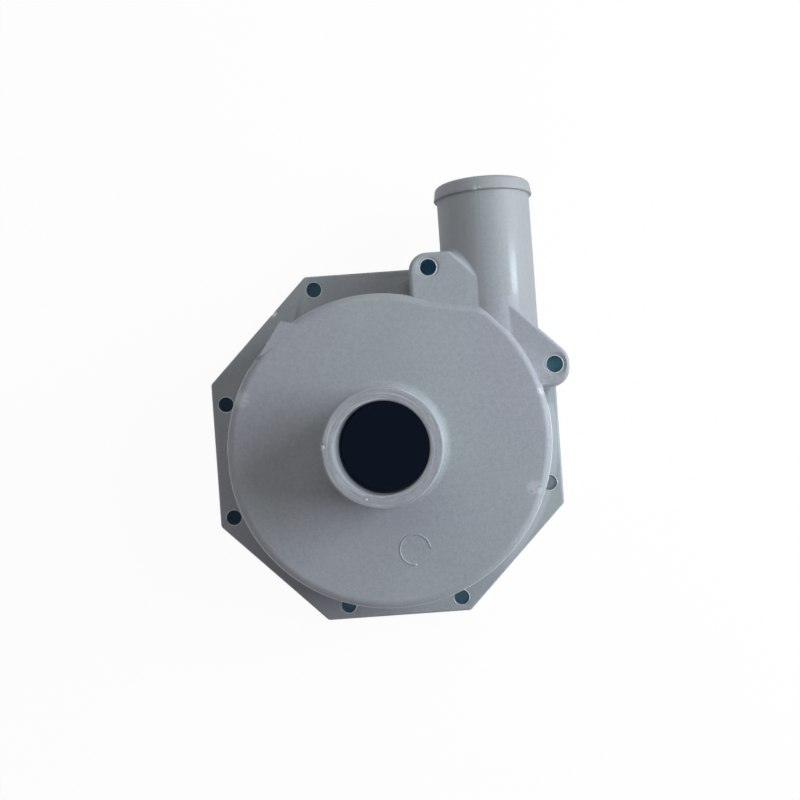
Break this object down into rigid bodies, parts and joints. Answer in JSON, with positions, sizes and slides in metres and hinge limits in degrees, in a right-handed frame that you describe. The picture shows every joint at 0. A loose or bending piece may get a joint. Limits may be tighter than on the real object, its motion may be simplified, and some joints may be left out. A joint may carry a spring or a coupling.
{
  "type": "pump housing",
  "caption": "Cast volute pump housing with an octagonal bolt flange, a round scroll drum, an upright inlet nozzle and a tangential outlet stub.",
  "frame": {"origin": "on the inlet axis, in the plane of the flange's mating face", "axes": "+Z along the inlet nozzle, away from the mating face; +Y along the outlet stub, towards its open end"},
  "size_m": [0.1508, 0.1795, 0.0844],
  "materials": {
    "casting": "satin grey blasted die casting with bright drilled edges"
  },
  "bodies": {
    "root": {"pump_housing": "casting"}
  },
  "joints": []
}
